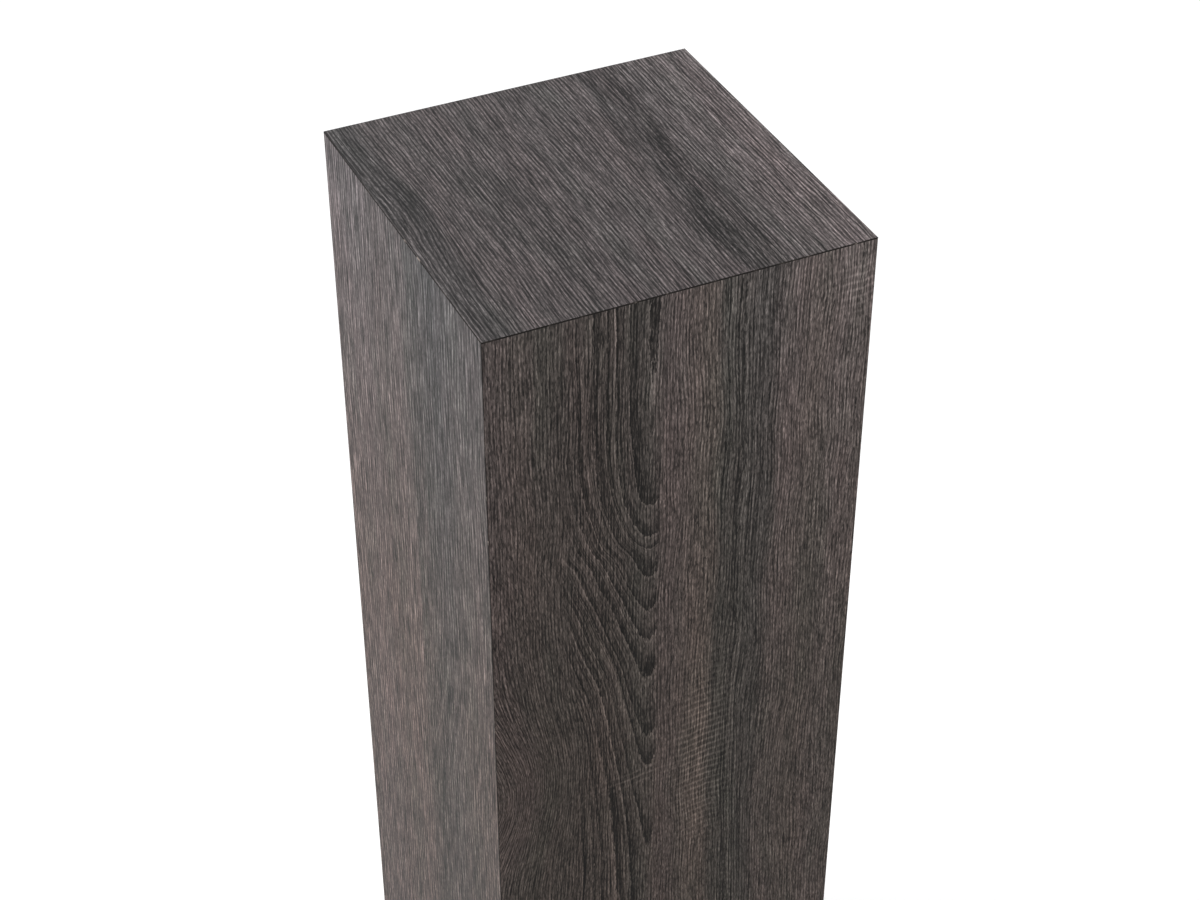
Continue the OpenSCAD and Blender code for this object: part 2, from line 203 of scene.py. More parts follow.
def drawn(name, outline):
    """A line through (radius, height) points, in millimetres. It is left in edit mode."""
    bpy.ops.object.select_all(action="DESELECT")
    bpy.ops.mesh.primitive_plane_add(size=0.001)
    piece = bpy.context.object
    piece.name = name
    points = [Vector((radius / 1000, 0, height / 1000)) for radius, height in outline]
    bpy.ops.object.mode_set(mode="EDIT")
    bpy.ops.mesh.select_mode(type="VERT")
    bpy.ops.mesh.select_all(action="SELECT")
    bpy.ops.mesh.merge(type="CENTER")
    bpy.ops.transform.translate(value=points[0])
    for start, end in zip(points, points[1:]):
        bpy.ops.mesh.extrude_vertices_move(TRANSFORM_OT_translate={"value": end - start})
    return piece


def turned(name, outline, steps):
    """A turned shape: its outline, drawn and then spun round the vertical axis."""
    piece = drawn(name, outline)
    bpy.ops.mesh.select_all(action="SELECT")
    bpy.ops.mesh.spin(steps=steps, angle=math.tau, center=(0, 0, 0), axis=(0, 0, 1))
    bpy.ops.mesh.select_all(action="SELECT")
    bpy.ops.mesh.remove_doubles(threshold=weld)
    bpy.ops.mesh.normals_make_consistent(inside=False)
    bpy.ops.object.mode_set(mode="OBJECT")
    return piece


def select_only(*pieces):
    """Selects these pieces and no others, with the first active."""
    bpy.ops.object.select_all(action="DESELECT")
    for piece in pieces:
        piece.select_set(True)
    bpy.context.view_layer.objects.active = pieces[0]


def box_round(points):
    """The low and high corners of a box round some points."""
    return [Vector([end(point[axis] for point in points) for axis in range(3)]) for end in (min, max)]


def cad_pieces(node):
    """The separate shells in one CAD node, each as its list of points, from a merged copy."""
    shells = bmesh.new()
    shells.from_mesh(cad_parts[node].data)
    bmesh.ops.remove_doubles(shells, verts=shells.verts, dist=0.000001)
    seen, found = set(), []
    for first in shells.verts:
        if first in seen:
            continue
        seen.add(first)
        shell, waiting = [], [first]
        while waiting:
            vertex = waiting.pop()
            shell.append(vertex.co.copy())
            for edge in vertex.link_edges:
                other = edge.other_vert(vertex)
                if other not in seen:
                    seen.add(other)
                    waiting.append(other)
        found.append(shell)
    shells.free()
    return found


def place_copies(name, models, material, slot, *nodes):
    """Puts a copy of its model at each place, joins the copies and lets them stand for the nodes."""
    copies = []
    for model, place in models:
        copy = model.copy()
        copy.data = model.data.copy()
        copy.data.transform(place)
        bpy.context.scene.collection.objects.link(copy)
        copies.append(copy)
    select_only(*copies)
    bpy.ops.object.join()
    group = bpy.context.object
    group.name = name
    group.data.materials.clear()
    group.data.materials.append(material)
    bpy.ops.object.shade_smooth_by_angle(angle=math.radians(35))
    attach(group, "plinth")
    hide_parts(*nodes)


def fluted_dowel():
    """One dowel, standing on the origin: 24 sided, every other line of points sunk as a flute."""
    sides, flute_share = 24, 0.93
    peg = turned("fluted_dowel", [(0, 0), (2.8, 0), (4.0, 1.4), (4.0, 28.6), (2.8, 30), (0, 30)], sides)
    for vertex in peg.data.vertices:
        line = round(math.atan2(vertex.co.y, vertex.co.x) / math.tau * sides)
        if line % 2 and vertex.co.xy.length > 0.0038:
            vertex.co.xy = vertex.co.xy * flute_share
    return peg


dowel = fluted_dowel()
dowel_places = []
for shell in cad_pieces("top_dowels"):
    low, high = box_round(shell)
    middle = (low + high) / 2
    dowel_places.append((dowel, Matrix.Translation((middle.x, middle.y, low.z))))
place_copies("fluted_dowels", dowel_places, pine("dowel", "Z"), "beech", "top_dowels")
bpy.data.objects.remove(dowel)


# ---------------------------------------------------------------------------------------------
# Screws. Zinc plated countersunk wood screws, 4 mm, with a cross recess and a coarse rolled thread.
# They hold every board to its neighbours; only the four under the base board can be seen.
def threaded_rod(name, outer, root, pitch, low, high, steps):
    """A threaded rod in millimetres: one pitch of its outline, wound up by a Screw modifier."""
    crest = [(root, 0), (outer, 0.42), (outer, 0.55), (root, 0.95), (root, 1)]
    rod = drawn(name, [(radius, low + (share - 1) * pitch) for radius, share in crest])
    bpy.ops.object.mode_set(mode="OBJECT")
    winding = rod.modifiers.new("winding", "SCREW")
    winding.axis = "Z"
    winding.angle = math.tau
    winding.screw_offset = pitch / 1000
    winding.iterations = math.ceil((high - low) / pitch) + 2
    winding.steps = winding.render_steps = steps
    winding.use_merge_vertices = True
    winding.merge_threshold = weld
    bpy.ops.object.modifier_apply(modifier="winding")
    bpy.ops.object.mode_set(mode="EDIT")
    for height, keep_above in ((low, True), (high, False)):
        bpy.ops.mesh.select_all(action="SELECT")
        bpy.ops.mesh.remove_doubles(threshold=weld)
        bpy.ops.mesh.bisect(plane_co=(0, 0, height / 1000), plane_no=(0, 0, 1), use_fill=True,
                            clear_inner=keep_above, clear_outer=not keep_above, threshold=0.0000001)
    bpy.ops.mesh.select_all(action="SELECT")
    bpy.ops.mesh.normals_make_consistent(inside=False)
    bpy.ops.object.mode_set(mode="OBJECT")
    return rod


def cut(piece, tool, operation="DIFFERENCE"):
    """Applies a boolean between a piece and a tool, and throws the tool away."""
    boolean = piece.modifiers.new("cut", "BOOLEAN")
    boolean.operation = operation
    boolean.solver = "EXACT"
    boolean.object = tool
    bpy.context.view_layer.objects.active = piece
    bpy.ops.object.modifier_apply(modifier="cut")
    bpy.data.objects.remove(tool)


def join(name, *parts):
    """Joins parts into one piece."""
    select_only(*parts)
    bpy.ops.object.join()
    parts[0].name = name
    return parts[0]


def wood_screw(length):
    """One screw, pointing up from the origin, with its head's face at the origin."""
    outline = [(0, 0), (3.85, 0), (3.9, 0.1), (2.0, 2.0), (1.45, 2.8), (1.45, 9.0), (0, 9.0)]
    head = turned("screw_head", outline, 16)
    narrowing = 0.45  # the recess tapers to this share of its width
    for turn in (0, 90):
        bpy.ops.object.select_all(action="DESELECT")
        bpy.ops.mesh.primitive_cube_add(size=1, location=(0, 0, 0.0008), scale=(0.0044, 0.0011, 0.0030))
        slot = bpy.context.object
        slot.rotation_euler.z = math.radians(turn)
        bpy.ops.object.transform_apply(location=True, rotation=True, scale=True)
        for vertex in slot.data.vertices:
            if vertex.co.z > 0:
                vertex.co.xy = vertex.co.xy * narrowing
        cut(head, slot)
    thread = threaded_rod("screw_thread", outer=2.0, root=1.3, pitch=2.4, low=8.6, high=length - 4.0,
                          steps=10)
    outline = [(0, length - 4.2), (1.5, length - 4.2), (1.2, length - 2.6), (0, length)]
    tip = turned("screw_tip", outline, 10)
    return join("wood_screw_%d" % length, head, thread, tip)


def zinc_plate():
    """Zinc plated steel: a metal with faint crystalline mottling about 2 mm across."""
    material, tree, surface = new_material("zinc_plated_steel", roughness=0.32, Metallic=1.0)
    mottle = streaks(tree, in_millimetres(tree), 2.0, 2.0, 4.0, detail=3.0)
    plate = add(tree, "ShaderNodeValToRGB", {0: mottle}, [(0.3, "B4B9BD"), (0.7, "D2D5D6")])
    tree.links.new(plate, surface.inputs["Base Color"])
    dull = add(tree, "ShaderNodeMapRange", {"Value": mottle, "To Min": 0.24, "To Max": 0.44})
    tree.links.new(dull, surface.inputs["Roughness"])
    return material


screw_finish = zinc_plate()
wood_screws = {}
for node in ("carcass_screws", "batten_screws", "top_cleat_screws", "brace_cleat_screws", "brace_screws",
             "base_edge_screws", "base_batten_screws"):
    places = []
    for shell in cad_pieces(node):
        low, high = box_round(shell)
        size, middle = high - low, (low + high) / 2
        axis = max(range(3), key=lambda a: size[a])
        wide = [point for point in shell  # only the head's rim stands this far off the axis
                if sum((point - middle)[a] ** 2 for a in range(3) if a != axis) > 0.0035 ** 2]
        head = middle.copy()
        head[axis] = low[axis] if wide[0][axis] < middle[axis] else high[axis]
        point_along = Vector([0, 0, 0])
        point_along[axis] = 1 if head[axis] == low[axis] else -1
        length = round(size[axis] * 1000)
        if length not in wood_screws:
            wood_screws[length] = wood_screw(length)
        turn = point_along.to_track_quat("Z", "X").to_matrix().to_4x4()
        places.append((wood_screws[length], Matrix.Translation(head) @ turn))
    place_copies(node.replace("screws", "wood_screws"), places, screw_finish, "zinc_plated_steel", node)
for model in wood_screws.values():
    bpy.data.objects.remove(model)


# ---------------------------------------------------------------------------------------------
# Tee nuts. Pressed steel, zinc plated, each hammered up into the base board so its prongs bite.
# The levelling studs turn in their M8 thread.
give(zinc_plate(), *("tee_nut_" + corner for corner in corners))


# ---------------------------------------------------------------------------------------------
# Levelling studs. M8 rolled thread, a chamfered 13 mm hexagon for a spanner, and a ball that snaps
# into the pad. Cold forged steel, zinc plated.
ball_height = 7.75  # millimetres, to the middle of the stud's ball and of the pad's socket


def levelling_stud():
    """One stud at its real heights, on the vertical axis."""
    thread = threaded_rod("stud_thread", outer=4.0, root=3.35, pitch=1.25, low=17.2, high=60.5, steps=32)
    outline = [(0, 17.0), (4.1, 17.0), (4.1, 59.3), (3.3, 60.0), (0, 60.0)]
    cut(thread, turned("thread_ends", outline, 32), "INTERSECT")
    across_corners = 13 / math.cos(math.radians(30)) / 1000
    bpy.ops.object.select_all(action="DESELECT")
    bpy.ops.mesh.primitive_cylinder_add(vertices=6, radius=across_corners / 2, depth=0.006,
                                        location=(0, 0, 0.0145), rotation=(0, 0, math.radians(30)))
    hexagon = bpy.context.object
    bpy.ops.object.transform_apply(location=True, rotation=True, scale=True)
    outline = [(0, 11.4), (6.1, 11.4), (7.7, 12.4), (7.7, 16.6), (6.1, 17.6), (0, 17.6)]
    cut(hexagon, turned("hexagon_chamfer", outline, 48), "INTERSECT")
    ball_radius = 4.5
    ball = [(ball_radius * math.sin(turn), ball_height - ball_radius * math.cos(turn))
            for turn in (math.radians(degrees) for degrees in range(0, 133, 12))]
    neck = turned("ball_and_neck", ball + [(2.8, 11.27), (2.8, 11.3), (3.1, 11.55), (0, 11.55)], 32)
    return join("levelling_stud", thread, hexagon, neck)


def copy_to_corner(model, name, corner, body, material):
    """A copy of a foot part at one corner, riding on its body in place of its CAD node."""
    low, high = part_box("foot_stud_" + corner)
    copy = model.copy()
    copy.data = model.data.copy()
    copy.name = name + "_" + corner
    copy.data.transform(Matrix.Translation(((low.x + high.x) / 2, (low.y + high.y) / 2, 0)))
    copy.data.materials.clear()
    copy.data.materials.append(material)
    bpy.context.scene.collection.objects.link(copy)
    select_only(copy)
    bpy.ops.object.shade_smooth_by_angle(angle=math.radians(30))
    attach(copy, body + "_" + corner)
    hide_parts("foot_" + name.split("_")[-1] + "_" + corner)


stud_finish = zinc_plate()
stud = levelling_stud()
for corner in corners:
    copy_to_corner(stud, "levelling_stud", corner, "stud", stud_finish)
bpy.data.objects.remove(stud)


# ---------------------------------------------------------------------------------------------
# Foot pads. Injection moulded black nylon, 32 mm across, with a socket for the stud's ball and a
# seat for the sole below. All the outer edges are rounded by the mould.
def foot_pad():
    """One pad: seat, rim, straight side, cone and socket, as one turned outline."""
    outline = [(0, 2), (15, 2), (15, 1), (15.5, 1.0), (15.85, 1.15), (16, 1.5), (16, 4.7), (15.9, 5.0),
               (15.6, 5.3), (12.6, 7.9), (9.9, 10.2), (9.5, 10.5), (9.2, 10.75), (8.7, 11.0), (3.5, 11.0),
               (3.25, 10.92)]
    socket_radius = 4.55
    for turn in (math.radians(degrees) for degrees in range(132, -1, -12)):
        outline.append((socket_radius * math.sin(turn), ball_height - socket_radius * math.cos(turn)))
    return turned("foot_pad", outline, 48)


def nylon():
    """Moulded black nylon: a fine spark-eroded grain, about 0.4 mm, and a soft shine."""
    material, tree, surface = new_material("moulded_black_nylon", roughness=0.42)
    surface.inputs["Base Color"].default_value = linear("191919")
    grit = streaks(tree, in_millimetres(tree), 0.4, 0.4, 6.0)
    bump = add(tree, "ShaderNodeBump", {"Height": grit, "Strength": 0.3, "Distance": 0.0001})
    tree.links.new(bump, surface.inputs["Normal"])
    return material


pad = foot_pad()
nylon_finish = nylon()
for corner in corners:
    copy_to_corner(pad, "moulded_pad", corner, "pad", nylon_finish)
bpy.data.objects.remove(pad)


# ---------------------------------------------------------------------------------------------
# Soles. Charcoal rubber discs glued in the pads' seats, with three moulded rings that grip.
def foot_sole():
    """One sole, 2 mm thick, its lower face grooved."""
    grip = [(0, 0), (3.6, 0), (3.9, 0.4), (4.5, 0.4), (4.8, 0), (7.6, 0), (7.9, 0.4), (8.5, 0.4), (8.8, 0),
            (11.6, 0), (11.9, 0.4), (12.5, 0.4), (12.8, 0), (14.6, 0), (14.9, 0.3), (14.9, 2), (0, 2)]
    return turned("foot_sole", grip, 48)


def rubber():
    """Moulded rubber: charcoal, dusty and without shine."""
    material, tree, surface = new_material("moulded_rubber", roughness=0.9)
    dust = streaks(tree, in_millimetres(tree), 3.0, 3.0, 8.0, detail=4.0)
    dusty = add(tree, "ShaderNodeValToRGB", {0: dust}, [(0.35, "2A2A2A"), (0.65, "3A3938")])
    tree.links.new(dusty, surface.inputs["Base Color"])
    return material


sole = foot_sole()
rubber_finish = rubber()
for corner in corners:
    copy_to_corner(sole, "rubber_sole", corner, "pad", rubber_finish)
bpy.data.objects.remove(sole)


# ---------------------------------------------------------------------------------------------
# Laminate sheets. 0.8 mm high-pressure laminate, glued on: left and right, then front and back,
# then the top, each trimmed flush and its arrises filed. The decor is printed dark grey oak under
# a matt pore-textured overlay, and the cut edges show the dark paper core.
def sheet_place(tree, side, width, length):
    """Millimetres across a sheet from its left edge, and down it from its top or back edge."""
    turns = {"front": (90, 0, 0), "left": (90, -90, 0), "right": (90, 90, 0), "back": (90, 180, 0),
             "top": (180, 0, 0)}
    start = width / 2 if side == "top" else length
    return add(tree, "ShaderNodeMapping", {
        "Vector": add(tree, "ShaderNodeTexCoord").node.outputs["Object"], "Location": (width / 2, start, 0),
        "Rotation": [math.radians(turn) for turn in turns[side]], "Scale": (1000, 1000, 1000)})


def patches(tree, across, down, spots):
    """Soft patches, each a centre, a size and a strength: the strengths add up where they meet."""
    total = 0.0
    for centre, size, strength in spots:
        off = add(tree, "ShaderNodeCombineXYZ", {
            0: add(tree, "ShaderNodeMath", {0: across, 1: 1 / size[0], 2: -centre[0] / size[0]},
                   operation="MULTIPLY_ADD"),
            1: add(tree, "ShaderNodeMath", {0: down, 1: 1 / size[1], 2: -centre[1] / size[1]},
                   operation="MULTIPLY_ADD")})
        square = add(tree, "ShaderNodeVectorMath", {0: off, 1: off},
                     operation="DOT_PRODUCT").node.outputs["Value"]
        minus_square = add(tree, "ShaderNodeMath", {0: square, 1: -1.0}, operation="MULTIPLY")
        fall = add(tree, "ShaderNodeMath", {0: minus_square}, operation="EXPONENT")
        total = add(tree, "ShaderNodeMath", {0: fall, 1: strength, 2: total}, operation="MULTIPLY_ADD")
    return total


def ring_distance(tree, across, flow, down, seam, axis, depths, length):
    """How far each point is from the heart of its tree, in millimetres, which the rings follow.

    The plank that holds the axis was sawn at a slant to the rings, so they draw nested arches: depths
    gives how far below the face the heart lies, as (share of the length, millimetres). The plank on
    the other side of the seam was sawn square to the rings, so they are straight."""
    deepest = 150.0  # the depth at the top of the curve, which runs from 0 to 1
    arch_round = 11.0  # the arches' tips are about this round, and their arms run straight
    far_heart = 700.0  # how far past the sheet's left edge the other plank's heart lies
    curve = add(tree, "ShaderNodeFloatCurve", {
        "Value": add(tree, "ShaderNodeMath", {0: down, 1: length}, operation="DIVIDE")}).node
    points = curve.mapping.curves[0].points
    for number, (share, depth) in enumerate(depths):
        if number < 2:
            points[number].location = (share, depth / deepest)
        else:
            points.new(share, depth / deepest)
    curve.mapping.update()
    off_axis = add(tree, "ShaderNodeMath", {0: flow, 1: axis}, operation="SUBTRACT")
    side = add(tree, "ShaderNodeMath", {0: off_axis, 1: off_axis}, operation="MULTIPLY")
    side = add(tree, "ShaderNodeMath", {0: side, 1: arch_round ** 2}, operation="ADD")
    side = add(tree, "ShaderNodeMath", {0: side}, operation="SQRT")
    slant = add(tree, "ShaderNodeMath", {0: curve.outputs[0], 1: deepest, 2: side},
                operation="MULTIPLY_ADD")
    slant = add(tree, "ShaderNodeMath", {0: slant, 1: -arch_round}, operation="ADD")
    square = add(tree, "ShaderNodeMath", {0: flow, 1: far_heart}, operation="ADD")
    other = add(tree, "ShaderNodeMath", {0: across, 1: seam},
                operation="GREATER_THAN" if axis < seam else "LESS_THAN")
    rings = add(tree, "ShaderNodeMix", {0: other, 2: slant, 3: square}, data_type="FLOAT")
    return rings, off_axis


def grey_oak_laminate(side, width, length, seam, axis, depths, bands, lines, shades, painted_light_casts,
                      knot, saw_marks, strengths, coarse, vessel_pitch, wander, seed):
    """One sheet's decor, on the two planks that meet at its seam.

    Bands are the broad colours across the planks, and lines how clearly the rings draw across them.
    Shades are soft patches, lighter or darker, and painted_light_casts the cast at the near end and 400 mm
    down,
    which is painted light: painted shade and a browner cast further down the sheets, and a cool painted
    reflection over the top and near the top of the left face. Knot is a swirl in the grain, and saw_marks
    the patches of pale scratches. Strengths say how far strokes, dashes, threads, growth lines, vessels and
    clouds each darken or lighten the print, and coarse how much wider the fine ones are drawn, so that they
    show on a face seen at a slant. The grain strays by wander millimetres."""
    material, tree, surface = new_material(
        "grey_oak_laminate_" + side, roughness=0.6, **{"Specular IOR Level": 0.12})
    place = sheet_place(tree, side, width, length)
    axes = add(tree, "ShaderNodeSeparateXYZ", {0: place}).node
    across, down = axes.outputs[0], axes.outputs[1]

    # The grain wanders a few millimetres along its length and flows round the knot
    drift = streaks(tree, place, 60.0, 150.0, seed + 1.0, detail=1.0)
    strayed = add(tree, "ShaderNodeMath", {0: drift, 1: wander, 2: across}, operation="MULTIPLY_ADD")
    strayed = add(tree, "ShaderNodeMath", {0: strayed, 1: -wander / 2}, operation="ADD")
    swirl = patches(tree, across, down, [knot])
    flow = add(tree, "ShaderNodeMath", {0: strayed, 1: swirl}, operation="SUBTRACT")
    grain = add(tree, "ShaderNodeCombineXYZ", {0: flow, 1: down, 2: seed})
    u_share = add(tree, "ShaderNodeMath", {0: flow, 1: width}, operation="DIVIDE")

    # Growth rings: each darkens to its edge, which ends in a thin pale line
    ring_pitch, uneven_by, ragged_by, ring_strength = 9.0, 2.4, 0.4, 1.1
    distance, off_axis = ring_distance(tree, across, flow, down, seam, axis, depths, length)
    ragged = streaks(tree, grain, 1.6, 8.0, seed + 2.0)
    uneven = add(tree, "ShaderNodeTexNoise", {"W": add(
        tree, "ShaderNodeMath", {0: distance, 1: 0.045}, operation="MULTIPLY"), "Scale": 1.0},
        noise_dimensions="1D")
    count = add(tree, "ShaderNodeMath", {0: distance, 1: 1 / ring_pitch, 2: seed}, operation="MULTIPLY_ADD")
    count = add(tree, "ShaderNodeMath", {0: uneven, 1: uneven_by, 2: count}, operation="MULTIPLY_ADD")
    count = add(tree, "ShaderNodeMath", {0: ragged, 1: ragged_by, 2: count}, operation="MULTIPLY_ADD")
    ring = add(tree, "ShaderNodeMath", {0: count}, operation="FRACT")
    ring_tone = add(tree, "ShaderNodeValToRGB", {0: ring}, [
        (0.0, "D0D0D0"), (0.05, "D6D6D6"), (0.14, "B6B6B6"), (0.5, "ACACAC"), (0.8, "747474"),
        (0.96, "484848")])
    middle_ring_tone = 0.42
    line_strength = add(tree, "ShaderNodeValToRGB", {0: u_share}, lines)
    aside = add(tree, "ShaderNodeMath", {0: off_axis}, operation="ABSOLUTE")
    near_axis = add(tree, "ShaderNodeMapRange", {
        "Value": aside, "From Min": 5.0, "From Max": 60.0, "To Min": 1.0, "To Max": 0.85})
    ring_pull = add(tree, "ShaderNodeMath", {0: ring_tone, 1: middle_ring_tone}, operation="SUBTRACT")
    ring_pull = add(tree, "ShaderNodeMath", {0: ring_pull, 1: near_axis}, operation="MULTIPLY")
    ring_pull = add(tree, "ShaderNodeMath", {0: ring_pull, 1: line_strength}, operation="MULTIPLY")

    # Fine growth lines run between the rings, clearest where the rings are, and fade at the arches' tips
    along_rings = add(tree, "ShaderNodeCombineXYZ", {0: distance, 1: down, 2: seed})
    growth = streaks(tree, along_rings, 1.2 * coarse, 150.0, seed + 3.0, detail=1.0)
    growth = add(tree, "ShaderNodeMath", {0: growth, 1: 0.5}, operation="SUBTRACT")
    clearness = add(tree, "ShaderNodeMapRange", {"Value": line_strength, "To Min": 0.5, "To Max": 1.7})
    growth = add(tree, "ShaderNodeMath", {0: growth, 1: clearness}, operation="MULTIPLY")
    steep = add(tree, "ShaderNodeMapRange", {
        "Value": aside, "From Min": 4.0, "From Max": 26.0, "To Min": 0.2, "To Max": 1.0})
    growth = add(tree, "ShaderNodeMath", {0: growth, 1: steep}, operation="MULTIPLY")
    growth = add(tree, "ShaderNodeMath", {0: growth, 1: 0.5}, operation="ADD")

    # Fibres and pores: strokes 0.8 x 4 mm, dashes and threads, drawn coarser than the print so they show
    stroke_place = add(tree, "ShaderNodeMapping", {
        "Vector": grain, "Location": (seed, seed, 0), "Scale": (1 / 0.8 / coarse, 1 / 4.0, 1.0)})
    strokes = add(tree, "ShaderNodeTexVoronoi", {"Vector": stroke_place, "Scale": 1.0},
                  voronoi_dimensions="2D").node.outputs["Color"]
    stroke = add(tree, "ShaderNodeSeparateColor", {0: strokes})
    dashes = streaks(tree, grain, 0.66 * coarse, 3.6, seed + 4.0, detail=1.0)
    threads = streaks(tree, grain, 0.85 * coarse, 32.0, seed + 5.0, detail=1.0)
    clouds = streaks(tree, grain, 24.0, 140.0, seed + 6.0, detail=2.0)

    # Vessel lines, which wander and break up
    ripple = streaks(tree, grain, 3.0, 22.0, seed + 7.0, detail=2.0)
    ripple_strength = 9.0
    vessels = add(tree, "ShaderNodeMath", {0: flow, 1: math.tau / vessel_pitch}, operation="MULTIPLY")
    vessels = add(tree, "ShaderNodeMath", {0: ripple, 1: ripple_strength, 2: vessels},
                  operation="MULTIPLY_ADD")
    vessels = add(tree, "ShaderNodeMath", {0: vessels}, operation="SINE")
    unbroken = add(tree, "ShaderNodeMapRange", {"Value": dashes, "From Min": 0.25, "From Max": 0.65})
    vessels = add(tree, "ShaderNodeMath", {0: vessels, 1: unbroken}, operation="MULTIPLY")

    # The tone starts even, and each part pulls it down or up from its own middle
    tone = 1.0
    fields, middles = (stroke, dashes, threads, growth, vessels, clouds), (0.5, 0.5, 0.5, 0.5, 0.0, 0.5)
    for field, middle, strength in zip(fields, middles, strengths):
        off_middle = add(tree, "ShaderNodeMath", {0: field, 1: middle}, operation="SUBTRACT")
        tone = add(tree, "ShaderNodeMath", {0: off_middle, 1: strength, 2: tone}, operation="MULTIPLY_ADD")
    tone = add(tree, "ShaderNodeMath", {0: ring_pull, 1: ring_strength, 2: tone},
               operation="MULTIPLY_ADD")
    shade = patches(tree, flow, down, shades)
    tone = add(tree, "ShaderNodeMath", {0: tone, 1: shade}, operation="ADD")

    # Pale cross scratches left by the saw, in patches
    half_pitch, slope, saw_wander, saw_strength = 3.15, 0.06, 8.0, 0.26
    marks = patches(tree, across, down, saw_marks)
    saw = add(tree, "ShaderNodeMath", {0: across, 1: slope, 2: down}, operation="MULTIPLY_ADD")
    saw = add(tree, "ShaderNodeMath", {0: clouds, 1: saw_wander, 2: saw}, operation="MULTIPLY_ADD")
    saw = add(tree, "ShaderNodeMath", {0: saw, 1: half_pitch}, operation="PINGPONG")
    saw = add(tree, "ShaderNodeMapRange", {"Value": saw, "From Min": 1.2, "From Max": 3.0},
              interpolation_type="SMOOTHSTEP")
    saw = add(tree, "ShaderNodeMath", {0: saw, 1: marks}, operation="MULTIPLY")
    tone = add(tree, "ShaderNodeMath", {0: saw, 1: saw_strength, 2: tone}, operation="MULTIPLY_ADD")

    # The planks' colours, tinted by the clouds and by the painted light cast, and then scaled by the tone
    darkest, contrast = 0.42, 2.4
    held = add(tree, "ShaderNodeMath", {0: tone, 1: darkest}, operation="MAXIMUM")
    light = add(tree, "ShaderNodeMath", {0: held, 1: contrast}, operation="POWER")
    base = add(tree, "ShaderNodeValToRGB", {0: u_share}, bands)
    base.node.color_ramp.interpolation = "EASE"
    tint = add(tree, "ShaderNodeValToRGB", {0: clouds}, [(0.3, "F9FFFC"), (0.5, "FFFFFF"), (0.7, "FFFBFB")])
    # Painted light: the cast darkens and browns each sheet further down as painted shade, and cools the top
    # and the upper left face as a painted reflection.
    painted_cast_reach = 400.0
    far_share = add(tree, "ShaderNodeMath", {0: down, 1: painted_cast_reach}, operation="DIVIDE")
    cast = add(tree, "ShaderNodeValToRGB", {0: far_share}, [(0.0, painted_light_casts[0]), (1.0, painted_light_casts[1])])
    for over in (tint, cast):
        base = add(tree, "ShaderNodeMix", {0: 1.0, 6: base, 7: over}, data_type="RGBA",
                   blend_type="MULTIPLY").node.outputs[2]
    colour = add(tree, "ShaderNodeVectorMath", {0: base, 3: light}, operation="SCALE")
    tree.links.new(colour, surface.inputs["Base Color"])

    bump = add(tree, "ShaderNodeBump", {"Height": tone, "Strength": 0.15, "Distance": 0.0002})
    tree.links.new(bump, surface.inputs["Normal"])
    rough = add(tree, "ShaderNodeMapRange", {"Value": dashes, "To Min": 0.68, "To Max": 0.48})
    tree.links.new(rough, surface.inputs["Roughness"])
    return material


def paper_core():
    """The laminate's cut edge: resin-soaked brown paper, nearly black, with pale patches painted on as
    highlights on the filed flat.
    """
    material, tree, surface = new_material(
        "laminate_paper_core", roughness=0.7, **{"Specular IOR Level": 0.15})
    place = add(tree, "ShaderNodeTexCoord").node.outputs["Object"]
    painted_highlights = streaks(tree, place, 0.009, 0.009, 5.0, detail=3.0)  # in metres here: about 9 mm
    # The pale stop is a painted highlight: the filed edge lit as if it caught the light.
    paper = add(tree, "ShaderNodeValToRGB", {0: painted_highlights}, [
        (0.52, "171412"), (0.62, "2A2522"), (0.74, "8A8078")])
    tree.links.new(paper, surface.inputs["Base Color"])
    return material


def laminate_sheet(side, outward, decor, core):
    """A sheet with its outer arrises filed to a 45 degree flat, decor outside and core at the edges."""
    low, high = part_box(side + "_laminate")
    bpy.ops.object.select_all(action="DESELECT")
    bpy.ops.mesh.primitive_cube_add(size=1, location=(low + high) / 2, scale=high - low)
    sheet = bpy.context.object
    sheet.name = side + "_laminate_sheet"
    bpy.ops.object.transform_apply(location=True, rotation=True, scale=True)
    filed = 0.0003  # metres, the flat left by the file
    face_at = max(corner.dot(outward) for corner in (low, high))
    bpy.ops.object.mode_set(mode="EDIT")
    bpy.ops.mesh.select_all(action="DESELECT")
    bpy.ops.object.mode_set(mode="OBJECT")
    vertices = sheet.data.vertices
    for edge in sheet.data.edges:
        edge.select = all(abs(vertices[v].co.dot(outward) - face_at) < 1e-6 for v in edge.vertices)
    bpy.ops.object.mode_set(mode="EDIT")
    bpy.ops.mesh.select_mode(type="EDGE")
    bpy.ops.mesh.bevel(offset=filed, offset_type="OFFSET", segments=1, affect="EDGES")
    bpy.ops.object.mode_set(mode="OBJECT")
    sheet.data.materials.append(decor)
    sheet.data.materials.append(core)
    for face in sheet.data.polygons:
        face.material_index = 0 if face.normal.dot(outward) > 0.9 else 1
    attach(sheet, "plinth")
    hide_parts(side + "_laminate")


core = paper_core()
sheet_w = (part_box("top_laminate")[1].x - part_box("top_laminate")[0].x) * 1000
side_l = display_top.z * 1000

